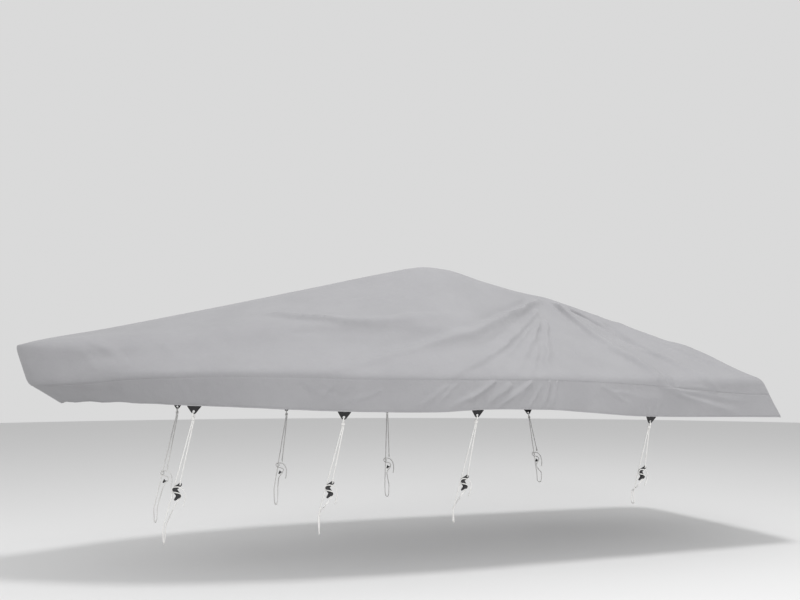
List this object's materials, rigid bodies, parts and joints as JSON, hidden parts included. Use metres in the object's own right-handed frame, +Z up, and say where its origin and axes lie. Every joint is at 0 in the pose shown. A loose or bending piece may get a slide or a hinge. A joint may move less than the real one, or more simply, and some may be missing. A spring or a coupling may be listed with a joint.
{
  "type": "boat cover",
  "caption": "Fitted light grey cloth cover for an open runabout, peaked over its windshield, with a sewn-on skirt, webbing tabs and white tie-down ropes with tensioners.",
  "frame": {"origin": "underside of the cloth on the centreline at its highest point, where it rests on the top of the windshield", "axes": "+X from the bow to the stern, -Y to port, +Z up"},
  "size_m": [7.2817, 2.5215, 2.5046],
  "materials": {
    "cover_cloth": "matt woven polyester",
    "tab_webbing": "black webbing",
    "tie_rope": "white braided rope",
    "tensioner_plastic": "moulded black plastic"
  },
  "bodies": {
    "root": {"top_port": "cover_cloth", "top_starboard": "cover_cloth", "skirt_port": "cover_cloth", "skirt_starboard": "cover_cloth", "skirt_transom": "cover_cloth", "tab_port_1": "tab_webbing", "tab_port_2": "tab_webbing", "tab_port_3": "tab_webbing", "tab_port_4": "tab_webbing", "tab_starboard_1": "tab_webbing", "tab_starboard_2": "tab_webbing", "tab_starboard_3": "tab_webbing", "tab_starboard_4": "tab_webbing", "knot_port_1": "tie_rope", "knot_port_2": "tie_rope", "knot_port_3": "tie_rope", "knot_port_4": "tie_rope", "knot_starboard_1": "tie_rope", "knot_starboard_2": "tie_rope", "knot_starboard_3": "tie_rope", "knot_starboard_4": "tie_rope", "rope_short_port_1": "tie_rope", "rope_short_port_2": "tie_rope", "rope_short_port_3": "tie_rope", "rope_short_port_4": "tie_rope", "rope_short_starboard_1": "tie_rope", "rope_short_starboard_2": "tie_rope", "rope_short_starboard_3": "tie_rope", "rope_short_starboard_4": "tie_rope", "rope_long_port_1": "tie_rope", "rope_long_port_2": "tie_rope", "rope_long_port_3": "tie_rope", "rope_long_port_4": "tie_rope", "rope_long_starboard_1": "tie_rope", "rope_long_starboard_2": "tie_rope", "rope_long_starboard_3": "tie_rope", "rope_long_starboard_4": "tie_rope", "tensioner_port_1": "tensioner_plastic", "tensioner_port_2": "tensioner_plastic", "tensioner_port_3": "tensioner_plastic", "tensioner_port_4": "tensioner_plastic", "tensioner_starboard_1": "tensioner_plastic", "tensioner_starboard_2": "tensioner_plastic", "tensioner_starboard_3": "tensioner_plastic", "tensioner_starboard_4": "tensioner_plastic"}
  },
  "joints": []
}
